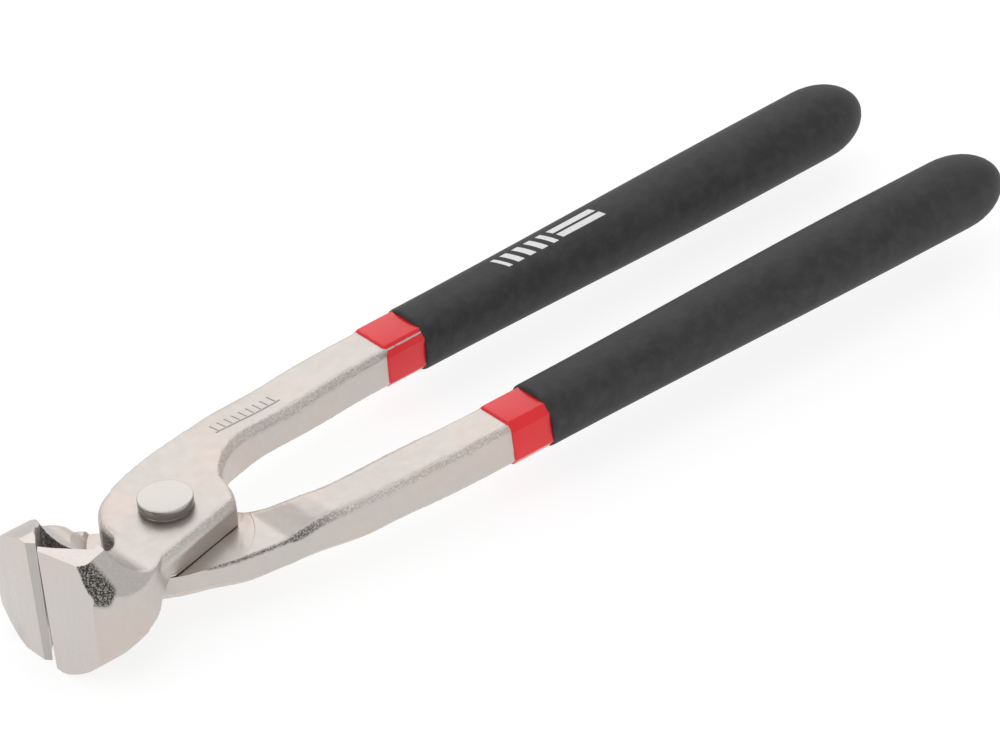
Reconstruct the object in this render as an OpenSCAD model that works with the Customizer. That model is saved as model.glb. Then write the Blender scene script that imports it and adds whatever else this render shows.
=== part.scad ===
// End-cutting pincers: two identical forged levers crossed on one rivet,
// each handle dipped first in a thin colour coat and then in a thick grip.

/* [Overall] */
// Length from the jaw face to the ends of the grips
overall_length = 250; // [220:1:300]
// Length of the cutting edges, which is also the width of the jaws
jaw_width = 30; // [24:1:36]
// Distance from the rivet centre to the jaw face
jaw_reach = 34.4; // [32:0.2:40]
// Gap left between the cutting edges when the handles are at rest
edge_gap = 0.5; // [0.4:0.1:1.5]

/* [Joint] */
// Radius of the round boss of each lever
boss_radius = 14.8; // [13.5:0.1:15.4]
// Thickness of one lever where the two lap over each other
lap_thickness = 8; // [6.5:0.1:9.5]
// Height of the boss edge chamfer
boss_chamfer = 1.4; // [0.6:0.1:2]
// Distance from the rivet centre to the flat outer side of the boss
boss_flat = 11; // [9.5:0.1:12]
// Running gap between the two lap faces
lap_gap = 0.3; // [0.3:0.05:0.5]
// Radius of the rivet shank
rivet_radius = 4; // [3.2:0.1:4.8]
// Radial clearance of the turning lever on the rivet
rivet_clearance = 0.05; // [0.02:0.01:0.09]
// Radius of the rivet head
rivet_head_radius = 6.1; // [5.4:0.1:6.6]
// Height of the rivet head above the boss
rivet_head_height = 2.6; // [1.8:0.1:3.2]
// Depth of the countersink that takes the peened rivet tail
rivet_tail_depth = 1.6; // [1:0.1:2.4]

/* [Handles] */
// Distance of each handle centre line from the middle of the tool, at the collar
handle_offset = 21.7; // [20:0.1:26]
// Outward lean of the handles, millimetres of side step per millimetre of length
handle_lean = 0.0146; // [0:0.001:0.03]
// Width of the bare shank
shank_width = 12.2; // [10.5:0.1:13.5]
// Height of the bare shank
shank_height = 10; // [8.5:0.1:11.5]
// Chamfer of the shank edges
shank_chamfer = 2.1; // [1.2:0.1:2.8]
// Distance from the rivet centre to the front rim of the colour coat
collar_start = 72; // [66:1:90]
// Length of the colour coat left bare in front of the grip
collar_length = 10.2; // [6:0.2:16]
// Thickness of the colour coat
coat_thickness = 0.5; // [0.4:0.1:0.9]
// Width of the grip at its front rim
grip_front_width = 15; // [14.6:0.1:17]
// Height of the grip at its front rim
grip_front_height = 13.4; // [12.8:0.1:15]
// Width of the grip where it is thickest
grip_width = 18; // [17:0.1:21]
// Height of the grip where it is thickest
grip_height = 16; // [15:0.1:19]
// Length of the steel tang that stops short of the grip end
tang_stop = 11; // [9:0.5:20]

/* [Hidden] */

steel = [0.80, 0.78, 0.75];
rivet_steel = [0.84, 0.83, 0.81];
coat_red = [0.80, 0.12, 0.16];
grip_black = [0.14, 0.14, 0.15];

eps = 0.01;
far = 60;
jaw_half = jaw_width / 2;
tip_x = overall_length - jaw_reach;
pivot_x = -(tip_x - jaw_reach) / 2;
lap_face = lap_gap / 2;
boss_top = lap_face + lap_thickness;
rivet_tail_radius = rivet_radius + rivet_tail_depth;

// the laps turn inside this radius, and every step beside them stays outside it
lap_clear = boss_radius + 3.2;

grip_start = collar_start + collar_length;
tang_end = tip_x - tang_stop;
coat_end = tang_end + 3 * coat_thickness;

// ---- curves -------------------------------------------------------------

function ease(t) = let (u = min(1, max(0, t))) u * u * (3 - 2 * u);
function mix(a, b, t) = a + (b - a) * t;
function bend(a, b, c, n) = [for (i = [0:n - 1]) let (t = i / n)
    (1 - t) * (1 - t) * a + 2 * t * (1 - t) * b + t * t * c];

// an even ring of corners with an eight-sided or a rounder section
function octagon(w, h, c) = [
    [w - c, h], [c - w, h], [-w, h - c], [-w, c - h],
    [c - w, -h], [w - c, -h], [w, c - h], [w, h - c]];
function power(v, e) = sign(v) * pow(abs(v), e);
function round_section(w, h, n, e) = [for (i = [0:n - 1]) let (a = 360 * (i + 0.5) / n)
    [w * power(cos(a), e), h * power(sin(a), e)]];

// joins rings of corners into one closed skin along the x axis
module skin(rings) {
    n = len(rings[0]);
    m = len(rings);
    walls = [for (j = [0:m - 2], i = [0:n - 1]) let (
        a = j * n + i, b = j * n + (i + 1) % n,
        c = (j + 1) * n + (i + 1) % n, d = (j + 1) * n + i)
        each [[a, d, c], [a, c, b]]];
    first = [for (i = [0:n - 1]) i];
    last = [for (i = [0:n - 1]) m * n - 1 - i];
    polyhedron(points = [for (r = rings) each r], faces = concat([first], walls, [last]));
}

function ring(x, y, z, section) = [for (p = section) [x, y + p[0], z + p[1]]];

// ---- handle sizes along x -----------------------------------------------

shank_start = 17;
shank_full = 46;
shank_line = 66;
function handle_y(x) = handle_offset + (x - collar_start) * handle_lean;
function outer_y(x) = handle_y(x) + shank_width / 2
    - 7.2 * pow(max(0, (shank_line - x) / (shank_line - shank_start)), 2.2);
function inner_y(x) = handle_y(x) - shank_width / 2
    - 4.6 * pow(max(0, (shank_line - x) / (shank_line - shank_start)), 1.7)
    - 6.6 * pow(max(0, (shank_full - x) / (shank_full - shank_start)), 4);
function top_z(x) = mix(boss_top, shank_height / 2, ease((x - shank_start) / (shank_full - shank_start)));

module shank() {
    bend_x = [for (i = [0:8]) mix(shank_start, shank_line, i / 8)];
    rings = concat(
        [for (x = bend_x) let (w = (outer_y(x) - inner_y(x)) / 2, h = (top_z(x) + shank_height / 2) / 2)
            ring(x, (outer_y(x) + inner_y(x)) / 2, top_z(x) - h, octagon(w, h, shank_chamfer))],
        [ring(tang_end - 2, handle_y(tang_end), 0,
            octagon(shank_width / 2, shank_height / 2, shank_chamfer)),
         ring(tang_end, handle_y(tang_end), 0,
            octagon(shank_width / 2 - 1.5, shank_height / 2 - 1.5, shank_chamfer))]);
    skin(rings);
}

// ---- head ---------------------------------------------------------------

edge = [1.1 - jaw_reach, -edge_gap / 2];
ridge = [0.2 - jaw_reach, -2.1];
front_low = [-jaw_reach, -7];
cheek = [2.4 - jaw_reach, -16.8];
inner_corner = [-25.4, -10.3];
neck = [-19.6, -5];

// plan of the jaw and of the arm that carries it back to the boss
module head_plan() {
    polygon(concat(
        [edge, ridge],
        bend(front_low, [-jaw_reach, -13.4], cheek, 4),
        bend(cheek, [-28.6, -20.4], [-23, -19.6], 5),
        bend([-23, -19.6], [-16.5, -18.4], [-11.4, -13.8], 5),
        [[-11.4, -13.8], [-6, -9], [-10, -4]],
        bend([-14.6, -0.4], [-15.9, -3.6], neck, 4),
        bend(neck, [-23.6, -7], inner_corner, 4),
        [inner_corner, [-31.2, -3.4]]));
}

// side view: full width at the jaw, stepping down to the lap at the boss
module head_side() {
    polygon(concat(
        [[-far, jaw_half], [-26, jaw_half]],
        bend([-24.8, jaw_half], [-22.2, boss_top + 1.4], [-19.5, boss_top], 5),
        [[-19.5, boss_top], [0, boss_top], [0, lap_face], [-15, lap_face]],
        bend([-15.4, -3.6], [-16.6, -7.2], [-21, -7.4], 4),
        bend([-21, -7.4], [-26.4, -8], [-28.4, -jaw_half], 4),
        [[-28.4, -jaw_half], [-far, -jaw_half]]));
}

// front view: the upper outer corner is hollow, the lower one ground round
module head_front() {
    polygon(concat(
        [[far / 4, jaw_half], [-13, jaw_half]],
        bend([-16.4, jaw_half], [-17.4, boss_top + 2], [-20.4, boss_top - 2], 5),
        bend([-20.4, 0], [-19.4, -5.6], [-15.4, -9], 5),
        bend([-15.4, -9], [-11.8, -12.6], [-7.4, -jaw_half], 5),
        [[-7.4, -jaw_half], [far / 4, -jaw_half]]));
}

// the ground outer face is a barrel: fullest at mid width, easing in to both ends
module barrel(turn, reach_mid, reach_top, reach_bottom) {
    steps = 12;
    rotate([90, 0, turn]) translate([0, 0, -far / 2]) linear_extrude(far)
        polygon(concat(
            [[far / 4, -jaw_half]],
            [for (i = [0:steps]) let (u = 2 * i / steps - 1)
                [-mix(reach_mid, u > 0 ? reach_top : reach_bottom, u * u), u * jaw_half]],
            [[far / 4, jaw_half]]));
}

module head() {
    intersection() {
        translate([0, 0, -jaw_half]) linear_extrude(jaw_width) head_plan();
        rotate([90, 0, 0]) translate([0, 0, -far / 2]) linear_extrude(far) head_side();
        rotate([90, 0, 90]) translate([0, 0, -far]) linear_extrude(far) head_front();
        barrel(35.6, jaw_reach + 1.8, jaw_reach - 1.1, jaw_reach - 0.6);
        barrel(12.8, jaw_reach + 0.9, jaw_reach - 0.6, jaw_reach + 0.7);
    }
}

module boss() {
    intersection() {
        union() {
            translate([0, 0, lap_face])
                cylinder(h = lap_thickness - boss_chamfer, r = boss_radius, $fn = 96);
            translate([0, 0, boss_top - boss_chamfer])
                cylinder(h = boss_chamfer, r1 = boss_radius, r2 = boss_radius - boss_chamfer, $fn = 96);
        }
        rotate([0, 0, 14.3]) translate([-far / 2, -boss_flat, 0]) cube([far, far, far]);
    }
}

// web between the boss and the root of the shank
module shank_root() {
    join_x = shank_start + 3;
    translate([0, 0, lap_face]) linear_extrude(lap_thickness)
        polygon(concat(
            [[0, 0], [boss_radius - 1.2, -4]],
            bend([boss_radius - 0.2, -1], [boss_radius + 0.6, 4.4], [join_x, inner_y(join_x)], 5),
            [[join_x, inner_y(join_x)], [join_x, outer_y(join_x) - 0.8]],
            bend([shank_start, outer_y(shank_start) - 0.4], [4, boss_radius + 3.2],
                [-7.5, 0.86 * boss_radius], 6)));
}

// one lever; the other is the same forging turned over
module lever(bore_radius, sink_radius) {
    difference() {
        union() {
            boss();
            head();
            shank_root();
            shank();
        }
        // room for the boss of the other lever
        translate([0, 0, lap_face - far])
            cylinder(h = far, r1 = lap_clear + 0.8 * far, r2 = lap_clear, $fn = 96);
        translate([0, 0, -far / 2]) cylinder(h = far, r = bore_radius, $fn = 64);
        if (sink_radius > 0)
            translate([0, 0, boss_top - rivet_tail_depth])
                cylinder(h = rivet_tail_depth + eps, r1 = bore_radius, r2 = sink_radius, $fn = 64);
    }
}

// ---- dipped handles -----------------------------------------------------

module coat_solid() {
    w = shank_width / 2 + coat_thickness;
    h = shank_height / 2 + coat_thickness;
    c = shank_chamfer + 0.4 * coat_thickness;
    skin([
        ring(collar_start, handle_y(collar_start), 0, octagon(w - 0.2, h - 0.2, c)),
        ring(collar_start + 0.6, handle_y(collar_start), 0, octagon(w, h, c)),
        ring(tang_end - 2, handle_y(tang_end), 0, octagon(w, h, c)),
        ring(coat_end, handle_y(tang_end), 0, octagon(w - 1.4, h - 1.4, c))]);
}

module grip_solid() {
    sides = 24;
    swell = tip_x - grip_start;
    body = [for (i = [0:8]) i / 8 * 0.9];
    dome = [for (i = [1:7]) i * 12];
    dome_length = 0.1 * swell;
    rings = concat(
        [ring(grip_start, handle_y(grip_start), 0,
            round_section(grip_front_width / 2 - 0.4, grip_front_height / 2 - 0.4, sides, 0.8))],
        [for (t = body) let (x = grip_start + 0.6 + t * (swell - 0.6), k = ease(t / 0.85))
            ring(x, handle_y(x), 0, round_section(mix(grip_front_width, grip_width, k) / 2,
                mix(grip_front_height, grip_height, k) / 2, sides, mix(0.8, 0.94, k)))],
        [for (a = dome) let (x = tip_x - dome_length * (1 - sin(a)))
            ring(x, handle_y(x), 0, round_section(grip_width / 2 * cos(a),
                grip_height / 2 * cos(a), sides, 0.94))],
        [ring(tip_x, handle_y(tip_x), 0, round_section(0.6, 0.5, sides, 1))]);
    skin(rings);
}

// ---- placing ------------------------------------------------------------

module upper() {
    translate([pivot_x, 0, jaw_half]) children();
}

module lower() {
    translate([pivot_x, 0, jaw_half]) rotate([180, 0, 0]) children();
}

module upper_half() {
    color(steel) upper() lever(rivet_radius, 0);
}

module lower_half() {
    color(steel) lower() lever(rivet_radius + rivet_clearance, rivet_tail_radius + 0.3);
}

module pivot_rivet() {
    color(rivet_steel) upper() rotate_extrude($fn = 96) polygon([
        [0, -boss_top],
        [rivet_tail_radius, -boss_top],
        [rivet_radius, rivet_tail_depth - boss_top],
        [rivet_radius, boss_top],
        [rivet_head_radius, boss_top],
        [rivet_head_radius, boss_top + rivet_head_height - 0.4],
        [rivet_head_radius - 0.4, boss_top + rivet_head_height],
        [0, boss_top + rivet_head_height]]);
}

module upper_coat() {
    color(coat_red) upper() difference() {
        coat_solid();
        shank();
    }
}

module lower_coat() {
    color(coat_red) lower() difference() {
        coat_solid();
        shank();
    }
}

module upper_grip() {
    color(grip_black) upper() difference() {
        grip_solid();
        coat_solid();
    }
}

module lower_grip() {
    color(grip_black) lower() difference() {
        grip_solid();
        coat_solid();
    }
}

upper_half();
lower_half();
pivot_rivet();
upper_coat();
lower_coat();
upper_grip();
lower_grip();
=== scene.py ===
"""End-cutting pincers: forged levers, rivet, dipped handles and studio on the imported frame."""

import math

import bmesh
import bpy
from mathutils import Matrix, Vector, noise


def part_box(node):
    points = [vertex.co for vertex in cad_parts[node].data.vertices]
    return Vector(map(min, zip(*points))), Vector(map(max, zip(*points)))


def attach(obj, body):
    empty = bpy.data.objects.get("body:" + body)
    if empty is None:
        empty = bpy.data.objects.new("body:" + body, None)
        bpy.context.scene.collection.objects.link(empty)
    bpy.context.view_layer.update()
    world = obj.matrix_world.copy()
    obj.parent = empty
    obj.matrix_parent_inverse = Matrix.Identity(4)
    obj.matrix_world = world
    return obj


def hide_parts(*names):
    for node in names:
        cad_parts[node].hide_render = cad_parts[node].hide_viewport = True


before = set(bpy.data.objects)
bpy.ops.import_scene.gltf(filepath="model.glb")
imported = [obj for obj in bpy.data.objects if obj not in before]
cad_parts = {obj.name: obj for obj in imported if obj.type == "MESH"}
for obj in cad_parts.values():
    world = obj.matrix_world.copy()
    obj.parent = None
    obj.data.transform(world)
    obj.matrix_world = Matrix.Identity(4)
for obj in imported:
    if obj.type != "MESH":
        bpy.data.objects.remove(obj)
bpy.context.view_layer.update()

bl_info = {
    "name": "End-Cutting Pincers",
    "version": (1, 0, 0),
    "blender": (4, 5, 0),
    "location": "View3D > Sidebar > Pincers",
    "description": "Builds a pair of forged end-cutting pincers with dipped handles",
    "category": "Add Mesh",
}

# ---- places taken from the frame, in millimetres about the rivet centre ----

MM = 0.001
RIVET_LOW, RIVET_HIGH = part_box("pivot_rivet")
HALF_LOW, HALF_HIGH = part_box("upper_half")
PIVOT = Vector((
    (RIVET_LOW[0] + RIVET_HIGH[0]) / 2,
    (RIVET_LOW[1] + RIVET_HIGH[1]) / 2,
    (HALF_LOW[2] + HALF_HIGH[2]) / 2,
))
JAW_HALF = (HALF_HIGH[2] - HALF_LOW[2]) / 2 / MM
REACH = (PIVOT.x - HALF_LOW[0]) / MM
TANG_END = (HALF_HIGH[0] - PIVOT.x) / MM
COAT_START = (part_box("upper_coat")[0][0] - PIVOT.x) / MM
GRIP_START, GRIP_END = ((corner[0] - PIVOT.x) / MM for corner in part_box("upper_grip"))

# ---- heights of the joint, in millimetres above the rivet's middle plane ----

LAP_FACE = 0.15
BOSS_TOP = 8.15
# Radius about the rivet that the lap is kept clear to
LAP_CLEAR = 18.0

# ---- the handles, in millimetres about the rivet centre ----

HANDLE_SIDE, HANDLE_LEAN = 21.7, 0.0146
SHANK_WIDTH, SHANK_HEIGHT = 12.2, 10.0
# Where the shank leaves the boss, where it reaches full width, and where it runs straight
SHANK_START, SHANK_FULL, SHANK_LINE = 17.0, 46.0, 66.0
COAT_THICK = 0.5
# Half width and half height of the grip at its front rim and where it is thickest
GRIP_FRONT, GRIP_FULL = (7.5, 6.7), (9.0, 8.0)
GRIP_SIDES = 48

# ---- the jaw, in millimetres about the rivet centre ----

POCKET_TOP = Vector((-31.6, -12.4, JAW_HALF))
POCKET_FLOOR = Vector((-0.40, -0.73, 0.56))
POCKET_WALLS = (
    (Vector((-26.9, -15.7, 14.1)), Vector((0.912, -0.381, 0.155))),
    (Vector((-27.4, -18.6, 9.9)), Vector((0.64, -0.66, -0.40))),
)
FLAT_TURN = math.radians(-75.7)
FLAT_FACE = Vector((math.cos(FLAT_TURN), math.sin(FLAT_TURN), 0.0))
FLAT_WIDEST = FLAT_FACE * 11.7 + Vector((0.0, 0.0, 5.8))
# How much fuller the lower jaw is ground than the upper
LOWER_FULLNESS = 1.5

# ---- camera: angles in degrees, lens in millimetres, rivet place before it in millimetres ----

CAMERA_AZIMUTH, CAMERA_ELEVATION, CAMERA_ROLL = -35.91, 33.98, -6.04
CAMERA_LENS = 263.2
CAMERA_AIM = Vector((-70.09, -34.44, -1555.23))


# ---- settings ---------------------------------------------------------------


class PincersShape(bpy.types.PropertyGroup):
    """Sizes a maker would change."""

    boss_radius: bpy.props.FloatProperty(
        name="Boss radius", description="Radius of the round boss of each lever",
        default=14.8 * MM, unit="LENGTH")
    edge_gap: bpy.props.FloatProperty(
        name="Edge gap", description="Gap between the cutting edges at rest",
        default=0.5 * MM, unit="LENGTH")
    forge_grain: bpy.props.FloatProperty(
        name="Forge grain", description="Height of the as-forged unevenness",
        default=0.05 * MM, unit="LENGTH")
    forge_cell: bpy.props.FloatProperty(
        name="Forge cell", description="Size of the cells that the forged skin is made of",
        default=0.42 * MM, unit="LENGTH")
    rivet_head: bpy.props.FloatProperty(
        name="Rivet head radius", description="Radius of the turned rivet head",
        default=6.1 * MM, unit="LENGTH")
    handle_droop: bpy.props.FloatProperty(
        name="Handle droop", description="How far each grip end drifts out of the rivet's middle plane",
        default=0.9 * MM, unit="LENGTH")


class PincersFinish(bpy.types.PropertyGroup):
    """Colours of the finishes."""

    nickel: bpy.props.FloatVectorProperty(
        name="Nickel", description="Tint of the satin nickel plate",
        default=(0.575, 0.538, 0.505), size=3, subtype="COLOR")
    blush: bpy.props.FloatVectorProperty(
        name="Nickel blush", description="Warm tint that drifts over the plate",
        default=(0.61, 0.535, 0.49), size=3, subtype="COLOR")
    # Also the colour of the painted shade in the throat, inside the jaw and on the shank root beside the
    # boss; in the hollow behind the jaw face it is partly real scale, partly painted shade.
    scale: bpy.props.FloatVectorProperty(
        name="Forge scale", description="Dark scale left in the unground hollows",
        default=(0.06, 0.058, 0.056), size=3, subtype="COLOR")
    red: bpy.props.FloatVectorProperty(
        name="Coat red", description="Thin glossy first dip",
        default=(0.76, 0.007, 0.014), size=3, subtype="COLOR")
    black: bpy.props.FloatVectorProperty(
        name="Grip black", description="Thick matte second dip",
        default=(0.019, 0.019, 0.0205), size=3, subtype="COLOR")
    print_white: bpy.props.FloatVectorProperty(
        name="Print", description="Plain pad-printed bars on the grip",
        default=(0.86, 0.86, 0.86), size=3, subtype="COLOR")


# ---- shader maths -----------------------------------------------------------


class Signal:
    """A shader value that Python arithmetic works on."""

    def __init__(self, finish, socket):
        self.finish = finish
        self.socket = socket

    def _math(self, operation, first, second=None):
        sockets = {0: first} if second is None else {0: first, 1: second}
        return self.finish.node("ShaderNodeMath", {"operation": operation}, sockets)

    def __add__(self, other):
        return self._math("ADD", self, other)

    __radd__ = __add__

    def __sub__(self, other):
        return self._math("SUBTRACT", self, other)

    def __rsub__(self, other):
        return self._math("SUBTRACT", other, self)

    def __mul__(self, other):
        return self._math("MULTIPLY", self, other)

    def __pow__(self, other):
        return self._math("POWER", self, other)

    def at_most(self, other):
        return self._math("MINIMUM", self, other)

    def size(self):
        return self._math("ABSOLUTE", self)

    def fade(self, low, high):
        """0 below low and 1 above high, eased between."""
        return self.finish.node(
            "ShaderNodeMapRange", {"interpolation_type": "SMOOTHSTEP", "clamp": True},
            {"Value": self, "From Min": low, "From Max": high, "To Min": 0.0, "To Max": 1.0})

    def within(self, middle, half, edge):
        """1 inside middle plus or minus half, falling to 0 over edge."""
        return 1.0 - (self - middle).size().fade(half - edge, half + edge)


class Finish:
    """One material and the few ways its nodes are made."""

    def __init__(self, name):
        self.material = bpy.data.materials.new(name)
        self.material.use_nodes = True
        self.tree = self.material.node_tree
        self.tree.nodes.clear()

    def node(self, kind, settings=None, sockets=None, output=0):
        made = self.tree.nodes.new(kind)
        for name, value in (settings or {}).items():
            setattr(made, name, value)
        for name, value in (sockets or {}).items():
            if isinstance(value, Signal):
                self.tree.links.new(value.socket, made.inputs[name])
            else:
                made.inputs[name].default_value = value
        return Signal(self, made.outputs[output]) if made.outputs else None

    def place(self):
        return self.node("ShaderNodeTexCoord", output="Object")

    def axes(self, vector):
        return [self.node("ShaderNodeSeparateXYZ", None, {0: vector}, axis) for axis in "XYZ"]

    def stretched(self, scale):
        return self.node("ShaderNodeMapping", None, {"Vector": self.place(), "Scale": scale})

    def noise(self, scale, detail=2.0, rough=0.5, vector=None):
        return self.node("ShaderNodeTexNoise", None, {
            "Vector": vector or self.place(), "Scale": scale, "Detail": detail, "Roughness": rough})

    def painted(self, name):
        return self.node("ShaderNodeAttribute", {"attribute_name": name}, output="Fac")

    def colour(self, factor, first, second):
        wide = [(*c, 1.0) if isinstance(c, (tuple, list)) else c for c in (first, second)]
        return self.node(
            "ShaderNodeMix", {"data_type": "RGBA", "blend_type": "MIX"},
            {0: factor, 6: wide[0], 7: wide[1]}, 2)

    def bump(self, height, distance, strength=1.0, below=None):
        sockets = {"Height": height, "Distance": distance, "Strength": strength}
        if below is not None:
            sockets["Normal"] = below
        return self.node("ShaderNodeBump", None, sockets)

    def surface(self, sockets):
        shader = self.node("ShaderNodeBsdfPrincipled", None, sockets)
        self.node("ShaderNodeOutputMaterial", None, {"Surface": shader})
        return self.material


def rgb(value):
    return tuple(value)


def forged_finish(colours):
    """Satin nickel over the forging: soft grain, painted glints on the trimmed edges, dark scale and
    painted shade in the unground hollow, and painted shade in the throat, inside the jaw and on the
    shank root beside the boss.
    """
    f = Finish("forged_steel")
    drift = f.noise(38.0, 2.0).fade(0.42, 0.66)
    mottle = f.noise(420.0, 3.0, 0.6)
    grain = f.noise(2600.0, 2.0, 0.6)
    fleck = f.noise(2500.0, 3.0, 0.7)
    edge = f.painted("flash")
    hollow = f.painted("scale")
    plate = f.colour(drift, rgb(colours.nickel), rgb(colours.blush))
    plate = f.colour((mottle - 0.5) * 0.35 + 0.12, plate, (0.48, 0.445, 0.42))
    # Painted glints: the light flecks on the trimmed edges stand for the sparkle of light there; the few
    # dark flecks are the edge's own grain.
    flecked = f.colour(edge * fleck.fade(0.46, 0.62) * 0.60, plate, (0.90, 0.85, 0.80))
    flecked = f.colour(edge * (1.0 - fleck.fade(0.32, 0.42)) * 0.12, flecked, (0.36, 0.32, 0.30))
    # Painted shade and scale: the dark patches are partly scale in the hollow behind the jaw face, and
    # painted shade in the throat, inside the jaw and on the shank root beside the boss.
    dark = f.colour(hollow * (1.0 - fleck.fade(0.44, 0.62) * 0.75), flecked, rgb(colours.scale))
    marks = etched_marks(f)
    shade = f.colour(marks, dark, (0.22, 0.20, 0.19))
    rough = 0.36 + (mottle - 0.5) * 0.16 + edge * 0.10 + hollow * 0.30 + marks * 0.2
    skin = f.bump(mottle, 0.00006, 0.5)
    skin = f.bump(grain, 0.000035, 0.45, skin)
    skin = f.bump(fleck * (edge + hollow).at_most(1.0), 0.0003, 0.9, skin)
    return f.surface({
        "Base Color": shade, "Metallic": 1.0, "Roughness": rough, "Normal": skin})


def etched_marks(f):
    """A plain etched rule beside the boss: a base line with evenly spaced ticks, on top only."""
    x, y, z = f.axes(f.place())
    turn = math.radians(9.0)
    ahead, aside = x - (PIVOT.x + 0.034), y - 0.0172
    along = ahead * math.cos(turn) + aside * math.sin(turn)
    across = aside * math.cos(turn) - ahead * math.sin(turn)
    pitch, blur = 0.0022, 0.00008
    tick = f.node("ShaderNodeMath", {"operation": "PINGPONG"}, {0: along, 1: pitch / 2})
    ticks = (1.0 - tick.fade(0.00012, 0.00028)) * across.within(0.0006, 0.0013, blur)
    line = across.within(-0.0011, 0.00022, blur)
    top = z.fade(PIVOT.z + 0.004, PIVOT.z + 0.0045)
    return (ticks + line).at_most(1.0) * along.within(0.0, 0.0099, blur) * top * 0.8


def ground_finish():
    """The ground faces of the jaws: smoother plate over fine grinding lines."""
    f = Finish("ground_steel")
    lines = f.noise(900.0, 2.0, 0.5, f.stretched((1.0, 1.0, 0.08)))
    fine = f.noise(3800.0, 2.0, 0.6)
    drift = f.noise(70.0, 2.0).fade(0.40, 0.70)
    plate = f.colour(drift, (0.585, 0.552, 0.528), (0.60, 0.545, 0.51))
    plate = f.colour((lines - 0.5) * 0.22 + 0.06, plate, (0.48, 0.455, 0.44))
    rough = 0.27 + (lines - 0.5) * 0.14 + (fine - 0.5) * 0.06
    skin = f.bump(lines, 0.00003, 0.35)
    skin = f.bump(fine, 0.00001, 0.4, skin)
    return f.surface({
        "Base Color": plate, "Metallic": 1.0, "Roughness": rough, "Normal": skin})


def shaded_bevel_finish():
    """The bevels behind the cutting edges, painted a shade darker than the faces to stand for the dark
    reflection they show.
    """
    f = Finish("shaded_bevel_steel")
    lines = f.noise(1100.0, 2.0, 0.5, f.stretched((1.0, 1.0, 0.06)))
    # Painted reflection: the darker base colour stands for the dark the bevels reflect.
    plate = f.colour((lines - 0.5) * 0.5 + 0.2, (0.47, 0.445, 0.415), (0.39, 0.365, 0.34))
    return f.surface({
        "Base Color": plate, "Metallic": 1.0, "Roughness": 0.26 + (lines - 0.5) * 0.16,
        "Normal": f.bump(lines, 0.00002, 0.35)})


def rivet_finish():
    """Turned rivet head: faint rings about the axis, a satin top, and painted shade down the side of the
    head.
    """
    f = Finish("rivet_steel")
    x, y, z = f.axes(f.place())
    dx, dy = x - PIVOT.x, y - PIVOT.y
    radius = (dx * dx + dy * dy) ** 0.5
    flat = f.node("ShaderNodeCombineXYZ", None, {0: radius, 1: 0.0, 2: 0.0})
    rings = f.noise(2600.0, 2.0, 0.6, flat)
    grain = f.noise(3000.0, 2.0)
    plate = f.colour((rings - 0.5) * 0.3 + 0.15, (0.56, 0.53, 0.50), (0.47, 0.44, 0.415))
    # Painted shade: the side of the head is darkened, most towards its foot, for the dark reflection and
    # contact shadow there.
    rim = radius.fade(0.0057, 0.006) * (1.0 - z.fade(RIVET_HIGH[2] - 0.0003, RIVET_HIGH[2] - 0.0001))
    plate = f.colour(rim * (1.0 - z.fade(PIVOT.z + 0.0084, RIVET_HIGH[2]) * 0.5) * 0.8,
                     plate, (0.16, 0.145, 0.13))
    rough = 0.25 + (grain - 0.5) * 0.12
    return f.surface({
        "Base Color": plate, "Metallic": 1.0, "Roughness": rough,
        "Normal": f.bump(grain, 0.00002, 0.4, f.bump(rings, 0.00001, 0.3))})


def coat_finish(colours):
    """Glossy thin dip with a slight orange peel."""
    f = Finish("red_coat")
    peel = f.noise(520.0, 2.0, 0.4)
    cloud = f.noise(90.0, 2.0)
    tint = f.colour(cloud.fade(0.35, 0.7) * 0.35, rgb(colours.red), (0.84, 0.02, 0.03))
    return f.surface({
        "Base Color": tint, "Metallic": 0.0, "Roughness": 0.24 + (peel - 0.5) * 0.12,
        "Coat Weight": 0.08, "Coat Roughness": 0.12, "Normal": f.bump(peel, 0.00006, 0.35)})


def grip_finish(colours, printed):
    """Matte thick dip: mottled skin with fine pimples, and plain printed bars on one grip."""
    f = Finish("black_grip_printed" if printed else "black_grip")
    mottle = f.noise(330.0, 3.0, 0.6)
    pimple = f.noise(1300.0, 2.0, 0.5)
    cloud = f.noise(60.0, 2.0)
    tint = f.colour(mottle.fade(0.35, 0.75) * 0.5, rgb(colours.black), (0.055, 0.055, 0.057))
    tint = f.colour(cloud.fade(0.4, 0.7) * 0.25, tint, (0.045, 0.044, 0.047))
    rough = 0.60 + (mottle - 0.5) * 0.22
    if printed:
        ink = printed_bars(f)
        flecked = ink * (1.0 - pimple.fade(0.62, 0.80) * 0.5)
        tint = f.colour(flecked, tint, rgb(colours.print_white))
        rough = rough - ink * 0.1
    skin = f.bump(mottle, 0.00022, 0.55)
    skin = f.bump(pimple, 0.00010, 0.5, skin)
    return f.surface({
        "Base Color": tint, "Metallic": 0.0, "Roughness": rough, "Specular IOR Level": 0.42,
        "Normal": skin})


def printed_bars(f):
    """A row of short plain slanted bars and two longer ones, on top of the grip."""
    x, y, z = f.axes(f.place())
    middle = Vector((PIVOT.x + 0.1235, 0.0224, 0.0))
    along = (x - middle.x) + (y - middle.y) * 0.35
    across = y - middle.y
    blur = 0.00006
    pitch = f.node("ShaderNodeMath", {"operation": "PINGPONG"}, {0: along + 0.0135, 1: 0.0017})
    short = (1.0 - pitch.fade(0.00085, 0.00097)) * along.within(-0.0065, 0.0072, blur)
    longer = along.within(0.0085, 0.0062, blur) * across.within(-0.0012, 0.0009, blur)
    longer = longer + along.within(0.0085, 0.0062, blur) * across.within(0.0014, 0.0009, blur)
    top = z.fade(PIVOT.z + 0.003, PIVOT.z + 0.0032)
    return (short * across.within(0.0, 0.0024, blur) + longer).at_most(1.0) * top * 0.92


# ---- modelling helpers ------------------------------------------------------


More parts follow.
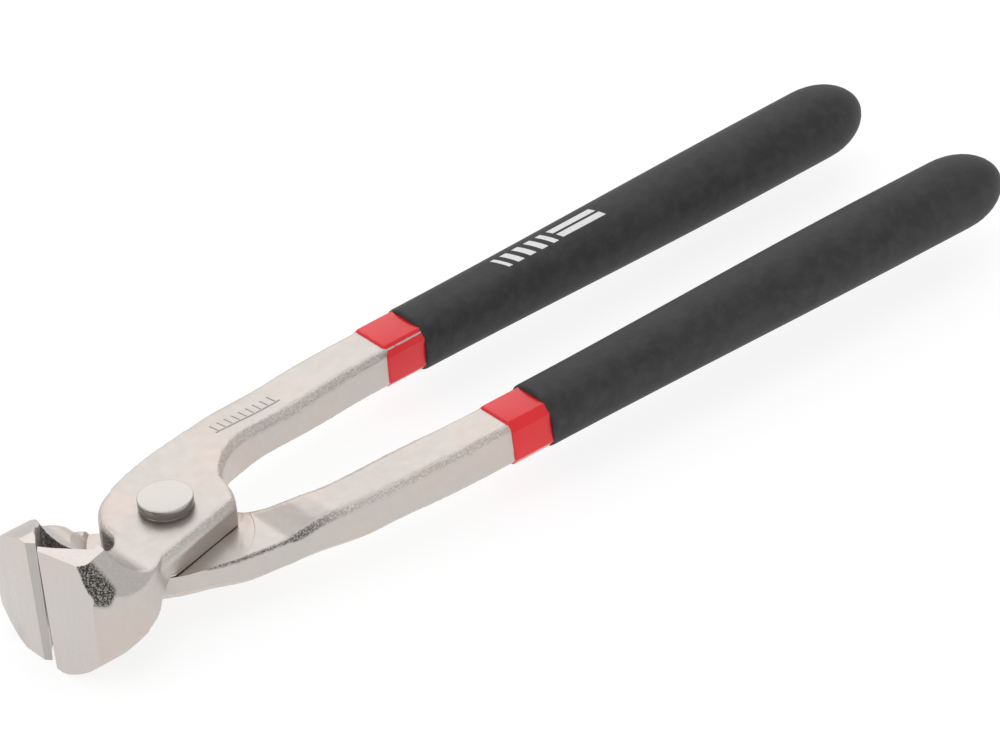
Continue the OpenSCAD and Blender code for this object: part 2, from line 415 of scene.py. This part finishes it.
def deselect():
    if bpy.context.mode != "OBJECT":
        bpy.ops.object.mode_set(mode="OBJECT")
    bpy.ops.object.select_all(action="DESELECT")


def take(obj):
    """Makes obj the one thing selected and active."""
    deselect()
    obj.select_set(True)
    bpy.context.view_layer.objects.active = obj
    return obj


def lay_plan(a, b, depth):
    return Vector((a, b, depth))


def lay_side(a, b, depth):
    return Vector((a, depth, b))


def lay_front(a, b, depth):
    return Vector((depth, a, b))


def prism(name, outline, near, far, lay):
    """A profile drawn as a filled ring and extruded straight."""
    deselect()
    bpy.ops.mesh.primitive_circle_add(vertices=len(outline), fill_type="NGON")
    obj = bpy.context.object
    obj.name = name
    for vertex, (a, b) in zip(obj.data.vertices, outline):
        vertex.co = lay(a, b, near)
    bpy.ops.object.mode_set(mode="EDIT")
    bpy.ops.mesh.select_all(action="SELECT")
    step = lay(0.0, 0.0, far) - lay(0.0, 0.0, near)
    bpy.ops.mesh.extrude_region_move(TRANSFORM_OT_translate={"value": step})
    bpy.ops.mesh.select_all(action="SELECT")
    bpy.ops.mesh.normals_make_consistent(inside=False)
    bpy.ops.object.mode_set(mode="OBJECT")
    return obj


def loft(name, rings):
    """A filled ring extruded from station to station, each new ring set to its section."""
    deselect()
    bpy.ops.mesh.primitive_circle_add(vertices=len(rings[0]), fill_type="NGON")
    obj = bpy.context.object
    obj.name = name
    for vertex, place in zip(obj.data.vertices, rings[0]):
        vertex.co = place
    bpy.ops.object.mode_set(mode="EDIT")
    bpy.ops.mesh.select_all(action="SELECT")
    last = [Vector(p) for p in rings[0]]
    for ring in rings[1:]:
        bpy.ops.mesh.extrude_region_move()
        shell = bmesh.from_edit_mesh(obj.data)
        for vertex in [v for v in shell.verts if v.select]:
            here = min(range(len(last)), key=lambda i: (last[i] - vertex.co).length_squared)
            vertex.co = ring[here]
        bmesh.update_edit_mesh(obj.data)
        last = [Vector(p) for p in ring]
    bpy.ops.mesh.select_all(action="SELECT")
    bpy.ops.mesh.normals_make_consistent(inside=False)
    bpy.ops.object.mode_set(mode="OBJECT")
    return obj


def apply(obj, kind, **settings):
    """Adds one modifier and applies it."""
    take(obj)
    modifier = obj.modifiers.new(kind.title(), kind)
    for name, value in settings.items():
        setattr(modifier, name, value)
    bpy.ops.object.modifier_apply(modifier=modifier.name)
    return obj


def trim(obj, point, outward):
    """Saws off what lies beyond a plane and closes the cut."""
    take(obj)
    bpy.ops.object.mode_set(mode="EDIT")
    bpy.ops.mesh.select_all(action="SELECT")
    bpy.ops.mesh.bisect(plane_co=point, plane_no=outward, use_fill=True, clear_outer=True)
    bpy.ops.object.mode_set(mode="OBJECT")
    return obj


def carve(obj, tool, operation, material=None):
    """Cuts obj with tool and throws the tool away; the cut faces take the tool's material."""
    if material is not None:
        finish_with(tool, material)
        tool.data.polygons.foreach_set("material_index", [0] * len(tool.data.polygons))
    apply(obj, "BOOLEAN", object=tool, operation=operation, solver="MANIFOLD",
          material_mode="TRANSFER" if material is not None else "INDEX")
    bpy.data.objects.remove(tool)
    return obj


def merge(objects, name):
    deselect()
    for obj in objects:
        obj.select_set(True)
    bpy.context.view_layer.objects.active = objects[0]
    bpy.ops.object.join()
    objects[0].name = name
    return objects[0]


def duplicate(obj, name):
    take(obj)
    bpy.ops.object.duplicate()
    copy = bpy.context.object
    copy.name = name
    return copy


def seat(obj, name, turned=False):
    """Brings a piece modelled in millimetres about the rivet to its place; turned lays it over."""
    take(obj)
    obj.name = name
    obj.data.name = name
    place = Matrix.Translation(PIVOT) @ Matrix.Scale(MM, 4)
    if turned:
        place = place @ Matrix.Rotation(math.pi, 4, "X")
    obj.matrix_world = place
    bpy.ops.object.transform_apply(location=True, rotation=True, scale=True)
    return obj


def smooth_shade(obj, degrees):
    take(obj)
    bpy.ops.object.shade_smooth_by_angle(angle=math.radians(degrees))
    return obj


def finish_with(obj, *materials):
    obj.data.materials.clear()
    for material in materials:
        obj.data.materials.append(material)
    return obj


def ease(t):
    t = min(1.0, max(0.0, t))
    return t * t * (3.0 - 2.0 * t)


def blend_of(a, b, t):
    return a + (b - a) * t


def arc(a, b, c, count):
    """Points on a smooth curve from a towards c, pulled to b."""
    a, b, c = Vector(a), Vector(b), Vector(c)
    return [tuple(a * (1 - t) ** 2 + b * 2 * t * (1 - t) + c * t * t)
            for t in (i / count for i in range(count))]


# ---- the lever forging ------------------------------------------------------


def handle_y(x):
    return HANDLE_SIDE + (x - COAT_START) * HANDLE_LEAN


def bend_back(x, start):
    return max(0.0, (start - x) / (SHANK_LINE - SHANK_START))


def outer_y(x):
    return handle_y(x) + SHANK_WIDTH / 2 - 7.2 * bend_back(x, SHANK_LINE) ** 2.2


def inner_y(x):
    root = max(0.0, (SHANK_FULL - x) / (SHANK_FULL - SHANK_START))
    return (handle_y(x) - SHANK_WIDTH / 2 - 4.6 * bend_back(x, SHANK_LINE) ** 1.7
            - 6.6 * root ** 4)


def top_z(x):
    return blend_of(BOSS_TOP, SHANK_HEIGHT / 2, ease((x - SHANK_START) / (SHANK_FULL - SHANK_START)))


def bar_section(width, top, bottom, chamfer):
    """Corners of a forged bar: flat top, even chamfers, sides drawn in towards the bottom."""
    foot = width - 0.35
    return [(width - chamfer, top), (chamfer - width, top), (-width, top - chamfer * 1.15),
            (-foot, bottom + chamfer), (chamfer - foot, bottom), (foot - chamfer, bottom),
            (foot, bottom + chamfer), (width, top - chamfer * 1.15)]


def sag(x, droop):
    """Each handle drifts a little out of the middle plane towards its end."""
    return -droop * ease((x - 30.0) / 150.0)


def ring_at(x, y, z, section):
    return [(x, y + a, z + b) for a, b in section]


def bottom_z(x):
    """The lap side slopes away slowly from the joint to the full bar."""
    full = SHANK_HEIGHT / 2 + 0.4
    return 0.4 - 0.58 * full * ease((x - 14.5) / 13.0) - 0.42 * full * ease((x - 20.0) / 38.0)


def shank_section(x):
    """Corners of the bar at x: the inner side carries a wider flank than the outer."""
    top, bottom, chamfer = top_z(x), bottom_z(x), 1.3
    inner, outer = inner_y(x), outer_y(x)
    flank = 1.1 * ease((74.0 - x) / 30.0)
    return [(outer - chamfer, top), (inner + 0.5 * chamfer, top), (inner - flank, top - 1.5),
            (inner - flank + 0.3, bottom + 1.2), (inner + chamfer, bottom),
            (outer - chamfer - 0.2, bottom), (outer - 0.3, bottom + 1.2), (outer, top - 1.5)]


def shank_blank(droop):
    """The bar from the boss to the end of the tang, tapered at the tip."""
    stations = [10.0] + [SHANK_START + i * (SHANK_LINE - SHANK_START) / 14 for i in range(15)]
    stations += [72.0, 80.0, 110.0, 150.0, TANG_END - 2.0]
    rings = [ring_at(x, 0.0, sag(x, droop), shank_section(x)) for x in stations]
    small = bar_section(SHANK_WIDTH / 2 - 1.5, SHANK_HEIGHT / 2 - 1.5, 1.5 - SHANK_HEIGHT / 2, 1.4)
    rings.append(ring_at(TANG_END, handle_y(TANG_END), sag(TANG_END, droop), small))
    return loft("shank", rings)


def chamfer_foot(obj):
    """The lower lever leaves the die with a broader outer chamfer beside the boss."""
    mesh = obj.data
    slant = Vector((0.0, 0.653, 0.757))
    step, inner, none, beyond = 2.0, 4.0, -99.0, 99.0
    crest = {}
    for vertex in mesh.vertices:
        if vertex.co.y > inner:
            key = int(vertex.co.x // step)
            crest[key] = max(crest.get(key, none), vertex.co.dot(slant))
    for vertex in mesh.vertices:
        place = vertex.co.copy()
        depth = 1.5 * ease((37.0 - place.x) / 14.0) + 1.2 * ease((9.0 - place.x) / 10.0)
        depth *= ease((place.x + 18.0) / 6.0)
        if depth <= 0.0 or place.y < inner:
            continue
        t = place.x / step - 0.5
        low = math.floor(t)
        level = blend_of(crest.get(low, beyond), crest.get(low + 1, crest.get(low, beyond)), t - low)
        over = place.dot(slant) - (level - depth)
        if over > 0.0:
            vertex.co = place - slant * over
    mesh.update()


def root_blank(boss):
    """The plate that joins the boss to the shank."""
    join = SHANK_START + 3.0
    outline = [(0.0, 0.0), (boss - 1.2, -4.0)]
    outline += arc((boss - 0.2, -1.0), (boss + 0.6, 4.4), (join, inner_y(join)), 6)
    outline += [(join, inner_y(join)), (join, outer_y(join) - 0.8)]
    outline += arc((SHANK_START, outer_y(SHANK_START) - 0.4), (4.0, boss + 3.2),
                   (-7.5, 0.86 * boss), 8)
    return prism("root", outline, LAP_FACE - 0.1, BOSS_TOP, lay_plan)


def boss_blank(boss):
    """The round boss with its upper rim bevelled."""
    deselect()
    bpy.ops.mesh.primitive_cylinder_add(
        vertices=96, radius=boss, depth=BOSS_TOP - LAP_FACE + 1.0,
        location=(0.0, 0.0, (BOSS_TOP + LAP_FACE - 1.0) / 2))
    disc = bpy.context.object
    bpy.ops.object.mode_set(mode="EDIT")
    shell = bmesh.from_edit_mesh(disc.data)
    for edge in shell.edges:
        edge.select_set(all(v.co.z > 0 for v in edge.verts) and len(edge.link_faces) == 2
                        and any(len(f.verts) > 4 for f in edge.link_faces))
    bmesh.update_edit_mesh(disc.data)
    bpy.ops.mesh.bevel(offset=1.3, segments=2, affect="EDGES")
    bpy.ops.object.mode_set(mode="OBJECT")
    return flatten(disc)


def flatten(obj):
    """The trimmed side of the boss: a chamfer above, drafted inwards below."""
    trim(obj, FLAT_WIDEST, FLAT_FACE * 0.92 + Vector((0.0, 0.0, 0.39)))
    return trim(obj, FLAT_WIDEST, FLAT_FACE * 0.962 - Vector((0.0, 0.0, 0.272)))


def arm_web():
    """Fills the corner between the arm and the flat side of the boss."""
    outline = [(-22.0, -20.0), (-15.2, -15.4), (-9.0, -15.2), (6.0, -11.5),
               (4.0, -4.0), (-12.0, -4.0), (-19.0, -9.0)]
    return flatten(prism("web", outline, LAP_FACE + 1.2, BOSS_TOP, lay_plan))


def jaw_plan():
    """Seen from above: edge, outer face, back of the jaw, arm and throat."""
    plan = [(-34.6, 1.6), (-36.0, -2.0), (-36.4, -7.0)]
    plan += arc((-36.2, -12.0), (-35.6, -16.0), (-32.4, -17.8), 4)
    plan += arc((-32.0, -16.8), (-28.6, -20.4), (-23.0, -19.6), 6)
    plan += arc((-23.0, -19.6), (-16.5, -18.4), (-11.4, -13.8), 6)
    plan += [(-11.4, -13.8), (-6.0, -9.0), (-10.0, -4.0)]
    plan += arc((-14.6, -0.4), (-15.9, -3.6), (-19.6, -5.0), 5)
    plan += arc((-19.6, -5.0), (-23.6, -7.0), (-25.4, -10.3), 5)
    return plan + [(-25.4, -10.3), (-31.2, -3.4)]


def jaw_side(spare):
    """Seen from the side: top strip, slope down to the arm, and the arm's underside."""
    side = [(-60.0, JAW_HALF + spare), (-24.4, JAW_HALF + spare)]
    side += arc((-24.2, JAW_HALF + 0.6), (-22.0, BOSS_TOP + 0.7), (-16.0, BOSS_TOP), 12)
    side += [(-16.0, BOSS_TOP), (0.0, BOSS_TOP), (0.0, LAP_FACE - 1.0), (-14.6, LAP_FACE - 1.0)]
    side += arc((-14.2, -0.8), (-15.2, -3.3), (-18.4, -3.8), 6)
    side += arc((-18.4, -3.8), (-24.4, -4.8), (-26.4, -JAW_HALF - spare), 8)
    return side + [(-26.4, -JAW_HALF - spare), (-60.0, -JAW_HALF - spare)]


def jaw_front(spare):
    """Seen from the front: the outer flank, fullest just above the middle."""
    front = [(15.0, JAW_HALF + spare), (-15.4, JAW_HALF + spare)]
    front += arc((-16.2, JAW_HALF), (-20.2, BOSS_TOP + 3.4), (-21.2, BOSS_TOP - 3.0), 6)
    front += arc((-21.2, 3.0), (-20.8, -2.6), (-17.6, -7.0), 6)
    front += arc((-17.6, -7.0), (-13.8, -12.2), (-6.6, -JAW_HALF + 0.5), 6)
    front += arc((-6.6, -JAW_HALF + 0.5), (-5.0, -JAW_HALF), (-2.6, -JAW_HALF - 0.4), 3)
    return front + [(-2.6, -JAW_HALF - spare), (15.0, -JAW_HALF - spare)]


def jaw_blank():
    """Jaw and arm before grinding: a plan, a side and a front profile common to one block."""
    spare, span = 1.0, 60.0
    block = prism("jaw", jaw_plan(), -JAW_HALF - spare, JAW_HALF + spare, lay_plan)
    carve(block, prism("side", jaw_side(spare), -span, span, lay_side), "INTERSECT")
    carve(block, prism("front", jaw_front(spare), -span, span, lay_front), "INTERSECT")
    carve(block, pocket_tool(), "DIFFERENCE")
    return trim(block, Vector((-15.0, -16.1, BOSS_TOP)), Vector((0.197, -0.68, 0.707)))


def pocket_tool():
    """Wedge of the hollow left unground behind the outer face."""
    deselect()
    bpy.ops.mesh.primitive_cube_add(size=24.0, location=(-31.0, -18.0, 13.0))
    wedge = trim(bpy.context.object, POCKET_TOP, -POCKET_FLOOR)
    for corner, wall in POCKET_WALLS:
        trim(wedge, corner, wall)
    return wedge


def barrel_tool(turn, middle, top, bottom):
    """A long bar whose one side is fullest at mid width, for the ground outer faces."""
    steps, far, span = 32, 300.0, 400.0
    outline = [(far, -JAW_HALF)]
    for i in range(steps + 1):
        u = 2 * i / steps - 1
        outline.append((-blend_of(middle, top if u > 0 else bottom, abs(u) ** 3.4), u * JAW_HALF))
    outline.append((far, JAW_HALF))
    tool = prism("barrel", outline, -span, span, lay_side)
    take(tool)
    tool.rotation_euler.z = math.radians(turn)
    bpy.ops.object.transform_apply(location=True, rotation=True, scale=True)
    return tool


def grinding_tool(gap, fullness):
    """All the ground faces at once: jaw sides, closing face and the barrel of the outer face."""
    throat, side, tail = -15.6, 60.0, 260.0
    plan = [(-REACH, -gap / 2), (-REACH, -side), (tail, -side), (tail, side),
            (throat, side), (throat, -gap / 2)]
    tool = prism("grind", plan, -JAW_HALF, JAW_HALF, lay_plan)
    full = REACH + fullness
    carve(tool, barrel_tool(35.6, full + 1.8, full - 1.1, REACH - 0.6), "INTERSECT")
    carve(tool, barrel_tool(12.8, full + 0.9, full - 0.6, REACH + 0.7), "INTERSECT")
    return tool


def bevel_tool(gap):
    """The bevel cut last behind the edge, a little wider at the lower end of the edge than at the upper.
    """
    deselect()
    bpy.ops.mesh.primitive_cube_add(size=40.0, location=(-50.0, 10.0, 0.0))
    slope = Vector((-0.775, 0.632, -0.02))
    return trim(bpy.context.object, Vector((1.2 - REACH, -gap / 2, JAW_HALF)), -slope)


def lap_tool():
    """Room for the other lever's boss, opening outwards with depth."""
    deselect()
    depth = 30.0
    bpy.ops.mesh.primitive_cone_add(
        vertices=128, radius1=LAP_CLEAR + 0.8 * depth, radius2=LAP_CLEAR, depth=depth,
        location=(0.0, 0.0, LAP_FACE - depth / 2))
    return bpy.context.object


def band(value, middle, half):
    return max(0.0, 1.0 - abs(value - middle) / half)


def trimmed_edge(place, normal):
    """How much of the sparkling trimmed edge shows here, 0 to 1."""
    slope = abs(normal.z)
    edge = ease((slope - 0.28) / 0.2) * (1.0 - ease((slope - 0.86) / 0.1))
    edge *= ease((74.0 - place.x) / 6.0)
    edge *= 1.0 - 0.7 * ease((-13.0 - place.x) / 5.0)
    if normal.z < 0.0:
        edge *= ease((abs(normal.y) - 0.3) / 0.2)
    return edge


def pocket_scale_and_shade(place, normal):
    """Dark patch on the floor of the unground hollow behind the jaw face: partly as-forged scale, partly
    painted shade.
    """
    hollow = band((place - POCKET_TOP).dot(POCKET_FLOOR), 0.3, 1.6)
    hollow = ease(2.0 * hollow) * ease((normal.dot(POCKET_FLOOR) - 0.70) / 0.15)
    for corner, wall in POCKET_WALLS:
        hollow *= ease(((corner - place).dot(wall) + 0.9) / 0.9)
    return hollow


def corner_shade(place, normal):
    """Painted shade in the corners that no grinding reaches: throat and inside of the jaw, and the shank
    root beside the boss, where it is partly the as-forged texture too.
    """
    ramp = ease((-normal.z - 0.15) / 0.2) * (1.0 - ease((-normal.z - 0.90) / 0.07))
    ramp *= ease((place.x + 11.0) / 3.0) * ease((34.0 - place.x) / 16.0)
    ramp *= ease((place.y - 7.0) / 3.0) * ease((place.z + 4.5) / 2.0) * ease((normal.y - 0.3) / 0.2)
    away = math.hypot(place.x + 15.2, place.y - 0.6)
    throat = ease((5.0 - away) / 1.5) * ease((7.4 - place.z) / 0.8)
    inside = ease((normal.y - 0.1) / 0.3) * ease((place.x + 31.5) / 1.5)
    inside *= ease((-17.0 - place.x) / 2.0) * ease((place.y + 12.5) / 1.0)
    return 0.75 * ramp + 0.8 * throat + 0.8 * inside


def weather(obj, grain):
    """As-forged unevenness moved into the skin, and masks for the painted glints on the trimmed edge and
    for the scale and painted shade in the hollows and corners.
    """
    mesh = obj.data
    skin = [(v.co.copy(), v.normal.copy()) for v in mesh.vertices]
    flashes, scale_and_shade, places = [], [], []
    for place, normal in skin:
        edge = trimmed_edge(place, normal)
        hollow = pocket_scale_and_shade(place, normal)
        lump = noise.noise(place * 0.22) + 0.5 * noise.noise(place * 0.6)
        pit = noise.noise(place * 1.7) * (0.5 + 2.2 * edge + 3.0 * hollow)
        flashes.append(min(1.0, edge))
        # The 'scale' attribute carries scale and painted shade: the hollow behind the jaw face plus the
        # painted shade of the corners.
        scale_and_shade.append(min(1.0, hollow + corner_shade(place, normal)))
        places.extend(place + normal * grain * (0.8 * lump + 0.55 * pit))
    mesh.attributes.new("flash", "FLOAT", "POINT").data.foreach_set("value", flashes)
    mesh.attributes.new("scale", "FLOAT", "POINT").data.foreach_set("value", scale_and_shade)
    mesh.vertices.foreach_set("co", places)
    mesh.update()


class PINCERS_OT_levers(bpy.types.Operator):
    """Forge one lever, grind its jaw, and turn a copy over for the other"""

    bl_idname = "pincers.levers"
    bl_label = "Levers"

    def execute(self, context):
        shape, colours = context.scene.pincers_shape, context.scene.pincers_finish
        boss = shape.boss_radius / MM
        forged, ground, shaded_bevel = forged_finish(colours), ground_finish(), shaded_bevel_finish()
        bar = shank_blank(shape.handle_droop / MM)
        parts = [bar, root_blank(boss), boss_blank(boss), arm_web(), jaw_blank()]
        lever = merge(parts, "lever")
        apply(lever, "REMESH", mode="VOXEL", voxel_size=shape.forge_cell / MM, adaptivity=0.0)
        apply(lever, "SMOOTH", factor=0.5, iterations=7)
        weather(lever, shape.forge_grain / MM)
        finish_with(lever, forged)
        turned = duplicate(lever, "lower_lever")
        chamfer_foot(turned)
        for obj, name, node, body, over, fullness in (
                (lever, "upper_lever", "upper_half", "upper", False, 0.0),
                (turned, "lower_lever", "lower_half", "lower", True, LOWER_FULLNESS)):
            carve(obj, lap_tool(), "DIFFERENCE", forged)
            carve(obj, grinding_tool(shape.edge_gap / MM, fullness), "INTERSECT", ground)
            carve(obj, bevel_tool(shape.edge_gap / MM), "DIFFERENCE", shaded_bevel)
            smooth_shade(obj, 32.0)
            seat(obj, name, over)
            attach(obj, body)
            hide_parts(node)
        return {"FINISHED"}


# ---- rivet ------------------------------------------------------------------


class PINCERS_OT_rivet(bpy.types.Operator):
    """Turn the rivet: head with a crisp rim above, peened tail below"""

    bl_idname = "pincers.rivet"
    bl_label = "Rivet"

    def execute(self, context):
        head = context.scene.pincers_shape.rivet_head / MM
        top = (RIVET_HIGH[2] - PIVOT.z) / MM
        low = (RIVET_LOW[2] - PIVOT.z) / MM
        profile = [
            (0.0, low), (4.9, low), (5.5, low + 0.12), (5.6, low + 0.3), (4.0, low + 1.7),
            (4.0, BOSS_TOP - 0.3), (head - 0.55, BOSS_TOP - 0.3), (head - 0.5, BOSS_TOP + 0.28),
            (head - 0.12, BOSS_TOP + 0.42), (head, BOSS_TOP + 0.62), (head, top - 0.20),
            (head - 0.05, top - 0.10), (head - 0.14, top - 0.03), (head - 0.3, top),
            (2.0, top), (0.0, top)]
        deselect()
        bpy.ops.mesh.primitive_circle_add(vertices=len(profile), fill_type="NOTHING")
        rivet = bpy.context.object
        for vertex, (radius, z) in zip(rivet.data.vertices, profile):
            vertex.co = (radius, 0.0, z)
        bpy.ops.object.mode_set(mode="EDIT")
        bpy.ops.mesh.select_all(action="DESELECT")
        shell = bmesh.from_edit_mesh(rivet.data)
        closing = [e for e in shell.edges if all(v.co.x < 1e-6 for v in e.verts)]
        bmesh.ops.delete(shell, geom=closing, context="EDGES")
        bmesh.update_edit_mesh(rivet.data)
        bpy.ops.mesh.select_all(action="SELECT")
        bpy.ops.mesh.spin(steps=96, angle=math.tau, center=(0, 0, 0), axis=(0, 0, 1))
        bpy.ops.mesh.select_all(action="SELECT")
        bpy.ops.mesh.remove_doubles(threshold=0.0005)
        bpy.ops.mesh.normals_make_consistent(inside=False)
        bpy.ops.object.mode_set(mode="OBJECT")
        finish_with(rivet, rivet_finish())
        smooth_shade(rivet, 40.0)
        seat(rivet, "rivet")
        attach(rivet, "upper")
        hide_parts("pivot_rivet")
        return {"FINISHED"}


# ---- dipped handles ---------------------------------------------------------


class PINCERS_OT_coats(bpy.types.Operator):
    """Dip the handles first in the thin glossy coat"""

    bl_idname = "pincers.coats"
    bl_label = "First dip"

    def execute(self, context):
        shape, colours = context.scene.pincers_shape, context.scene.pincers_finish
        droop = shape.handle_droop / MM
        wide, high = SHANK_WIDTH / 2 + COAT_THICK, SHANK_HEIGHT / 2 + COAT_THICK
        rim = [(COAT_START, 0.42), (COAT_START + 0.15, 0.16), (COAT_START + 0.5, 0.0)]
        run = [(COAT_START + 6.0, 0.0), (COAT_START + 16.0, 0.0), (110.0, 0.0), (150.0, 0.0)]
        end = [(TANG_END - 1.0, 0.0), (TANG_END + 1.4, 1.4)]
        rings = []
        for x, less in rim + run + end:
            section = bar_section(wide - less, high - less, less - high, 1.8)
            rings.append(ring_at(x, handle_y(x), sag(x, droop), section))
        coat = loft("coat", rings)
        apply(coat, "BEVEL", width=0.55, segments=3, limit_method="ANGLE",
              angle_limit=math.radians(14.0))
        finish_with(coat, coat_finish(colours))
        smooth_shade(coat, 40.0)
        turned = duplicate(coat, "lower_dip")
        for obj, name, node, body, over in (
                (coat, "upper_dip", "upper_coat", "upper", False),
                (turned, "lower_dip", "lower_coat", "lower", True)):
            seat(obj, name, over)
            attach(obj, body)
            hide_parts(node)
        return {"FINISHED"}


def round_section(width, height, sides, power):
    section = []
    for i in range(sides):
        angle = math.tau * (i + 0.5) / sides
        c, s = math.cos(angle), math.sin(angle)
        section.append((width * math.copysign(abs(c) ** power, c),
                        height * math.copysign(abs(s) ** power, s)))
    return section


def grip_ring(x, droop, wide, high, power):
    return ring_at(x, handle_y(x), sag(x, droop), round_section(wide, high, GRIP_SIDES, power))


def grip_rings(droop):
    """The grip from its rounded front rim, through the swelling palm, to its domed end."""
    (front_wide, front_high), (full_wide, full_high) = GRIP_FRONT, GRIP_FULL
    front_power, full_power = 0.78, 0.94
    length = GRIP_END - GRIP_START
    rim, dome = 0.9, 0.1 * length
    rings = []
    for step, less in ((0.0, 0.62), (0.12, 0.3), (0.4, 0.06)):
        rings.append(grip_ring(GRIP_START + step, droop, front_wide - less, front_high - less,
                               front_power))
    for i in range(34):
        t = i / 33
        swell = ease(t / 0.85)
        rings.append(grip_ring(
            GRIP_START + rim + t * (0.9 * length - rim), droop,
            blend_of(front_wide, full_wide, swell), blend_of(front_high, full_high, swell),
            blend_of(front_power, full_power, swell)))
    for angle in range(8, 90, 8):
        a = math.radians(angle)
        rings.append(grip_ring(GRIP_END - dome * (1 - math.sin(a)), droop,
                               full_wide * math.cos(a), full_high * math.cos(a), full_power))
    rings.append(grip_ring(GRIP_END, droop, 0.4, 0.35, 1.0))
    return rings


class PINCERS_OT_grips(bpy.types.Operator):
    """Dip the handles again in the thick matte grip"""

    bl_idname = "pincers.grips"
    bl_label = "Grips"

    def execute(self, context):
        shape, colours = context.scene.pincers_shape, context.scene.pincers_finish
        droop = shape.handle_droop / MM
        grip = loft("grip", grip_rings(droop))
        turned = duplicate(grip, "lower_grip_skin")
        for obj, name, node, body, over in (
                (grip, "upper_grip_skin", "upper_grip", "upper", False),
                (turned, "lower_grip_skin", "lower_grip", "lower", True)):
            finish_with(obj, grip_finish(colours, not over))
            smooth_shade(obj, 50.0)
            seat(obj, name, over)
            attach(obj, body)
            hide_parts(node)
        return {"FINISHED"}


# ---- studio -----------------------------------------------------------------


def soft_light(name, place, target, size, power):
    lamp = bpy.data.lights.new(name, "AREA")
    lamp.shape = "RECTANGLE"
    lamp.size, lamp.size_y = size
    lamp.energy = power
    obj = bpy.data.objects.new(name, lamp)
    bpy.context.scene.collection.objects.link(obj)
    obj.location = place
    obj.rotation_euler = (Vector(target) - Vector(place)).to_track_quat("-Z", "Y").to_euler()
    return obj


class PINCERS_OT_studio(bpy.types.Operator):
    """Pale floor, soft lights and the camera"""

    bl_idname = "pincers.studio"
    bl_label = "Studio"

    def execute(self, context):
        scene = context.scene
        deselect()
        bpy.ops.mesh.primitive_grid_add(
            x_subdivisions=8, y_subdivisions=8, size=8.0, location=(0.0, 0.0, -0.0002))
        floor = context.object
        floor.name = "floor"
        bpy.ops.object.transform_apply(location=True, rotation=True, scale=True)
        f = Finish("floor_paper")
        tone = f.noise(3.0, 2.0)
        shade = f.colour(tone * 0.2, (0.26, 0.26, 0.26), (0.25, 0.25, 0.25))
        finish_with(floor, f.surface({
            "Base Color": shade, "Roughness": 0.9, "Specular IOR Level": 0.0,
            "Emission Color": (1.0, 1.0, 1.0, 1.0), "Emission Strength": 0.80}))

        world = bpy.data.worlds.new("studio")
        scene.world = world
        world.use_nodes = True
        world.node_tree.nodes["Background"].inputs[0].default_value = (1.0, 1.0, 1.0, 1.0)
        world.node_tree.nodes["Background"].inputs[1].default_value = 0.72

        soft_light("behind", (0.9, 1.25, 1.05), (0.0, 0.0, 0.0), (1.8, 1.2), 5.2)
        soft_light("left", (-1.5, 0.45, 0.55), (-0.05, 0.0, 0.0), (0.9, 0.9), 2.6)
        soft_light("overhead", (-0.1, 0.0, 1.5), (0.0, 0.0, 0.0), (1.2, 1.2), 3.0)

        azimuth, elevation = math.radians(CAMERA_AZIMUTH), math.radians(CAMERA_ELEVATION)
        roll = math.radians(CAMERA_ROLL)
        back = Vector((math.sin(azimuth) * math.cos(elevation),
                       -math.cos(azimuth) * math.cos(elevation), math.sin(elevation)))
        right = Vector((math.cos(azimuth), math.sin(azimuth), 0.0))
        up = back.cross(right)
        right_turned = right * math.cos(roll) + up * math.sin(roll)
        up_turned = up * math.cos(roll) - right * math.sin(roll)
        camera = bpy.data.cameras.new("camera")
        camera.sensor_width = 36.0
        camera.lens = CAMERA_LENS
        camera.dof.use_dof = False
        camera.clip_start, camera.clip_end = 0.05, 20.0
        eye = bpy.data.objects.new("camera", camera)
        scene.collection.objects.link(eye)
        turn = Matrix((right_turned, up_turned, back)).transposed()
        eye.matrix_world = Matrix.Translation(PIVOT - turn @ (CAMERA_AIM * MM)) @ turn.to_4x4()
        scene.camera = eye
        scene.view_settings.view_transform = "Standard"
        return {"FINISHED"}


# ---- panel and running ------------------------------------------------------


class PINCERS_PT_panel(bpy.types.Panel):
    """Steps and settings of the pincers"""

    bl_label = "End-Cutting Pincers"
    bl_idname = "PINCERS_PT_panel"
    bl_space_type = "VIEW_3D"
    bl_region_type = "UI"
    bl_category = "Pincers"

    def draw(self, context):
        for group in (context.scene.pincers_shape, context.scene.pincers_finish):
            box = self.layout.box()
            for name in group.__annotations__:
                box.prop(group, name)
        for step in STEPS:
            self.layout.operator(step.bl_idname)


STEPS = (PINCERS_OT_levers, PINCERS_OT_rivet, PINCERS_OT_coats, PINCERS_OT_grips, PINCERS_OT_studio)
CLASSES = (PincersShape, PincersFinish, *STEPS, PINCERS_PT_panel)


def register():
    for cls in CLASSES:
        bpy.utils.register_class(cls)
    bpy.types.Scene.pincers_shape = bpy.props.PointerProperty(type=PincersShape)
    bpy.types.Scene.pincers_finish = bpy.props.PointerProperty(type=PincersFinish)


def unregister():
    del bpy.types.Scene.pincers_finish
    del bpy.types.Scene.pincers_shape
    for cls in reversed(CLASSES):
        bpy.utils.unregister_class(cls)


def main():
    register()
    bpy.ops.pincers.levers()
    bpy.ops.pincers.rivet()
    bpy.ops.pincers.coats()
    bpy.ops.pincers.grips()
    bpy.ops.pincers.studio()


if __name__ == "__main__":
    main()
